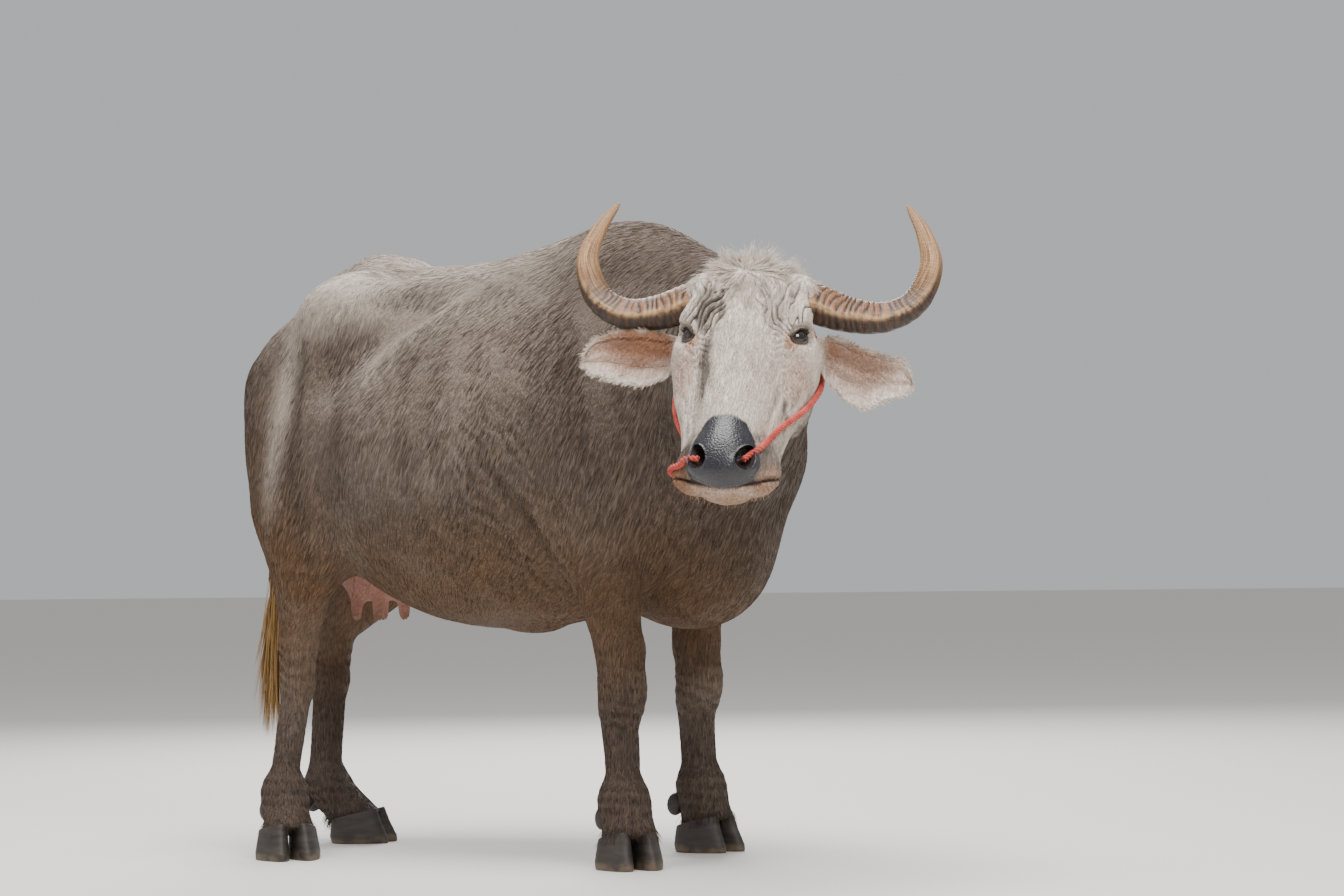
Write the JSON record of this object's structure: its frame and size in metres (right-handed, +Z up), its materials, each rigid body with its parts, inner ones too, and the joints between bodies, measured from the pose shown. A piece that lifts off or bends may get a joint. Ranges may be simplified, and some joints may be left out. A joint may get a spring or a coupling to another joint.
{
  "type": "water buffalo",
  "caption": "Life-size standing swamp buffalo cow, head turned to its right, with crescent horns, drooping ears, udder, cloven hooves and a thin nose rope.",
  "frame": {"origin": "on the floor, under the middle of the whole animal's bounding box", "axes": "+X towards the chest, along the body; +Y to the animal's left; +Z up; hooves stand at Z 0"},
  "size_m": [1.802, 1.0812, 1.278],
  "materials": {
    "hide": "short flat ashy grey-brown hair over grey skin",
    "face_hide": "pale grey hair, folded dark brow, damp black nose",
    "ear_skin": "rust-brown inside with long pale fringe",
    "horn": "ridged brown horn, smoother tan tips",
    "eye": "dark, wet",
    "claw": "dull dark grey horn",
    "rope": "twisted salmon-red cord",
    "udder_skin": "bare pinkish skin",
    "tail_hair": "grey-brown dock, straw-coloured switch"
  },
  "bodies": {
    "root": {"claw_front_left_inner": "claw", "claw_front_left_outer": "claw", "claw_front_right_inner": "claw", "claw_front_right_outer": "claw", "claw_hind_left_inner": "claw", "claw_hind_left_outer": "claw", "claw_hind_right_inner": "claw", "claw_hind_right_outer": "claw", "dewclaw_front_left_inner": "claw", "dewclaw_front_left_outer": "claw", "dewclaw_front_right_inner": "claw", "dewclaw_front_right_outer": "claw", "dewclaw_hind_left_inner": "claw", "dewclaw_hind_left_outer": "claw", "dewclaw_hind_right_inner": "claw", "dewclaw_hind_right_outer": "claw", "ear_left": "ear_skin", "ear_right": "ear_skin", "eye_left": "eye", "eye_right": "eye", "head": "face_hide", "horn_left": "horn", "horn_right": "horn", "leg_front_left": "hide", "leg_front_right": "hide", "leg_hind_left": "hide", "leg_hind_right": "hide", "neck": "hide", "nose_rope": "rope", "tail": "tail_hair", "torso": "hide", "udder": "udder_skin"}
  },
  "joints": []
}
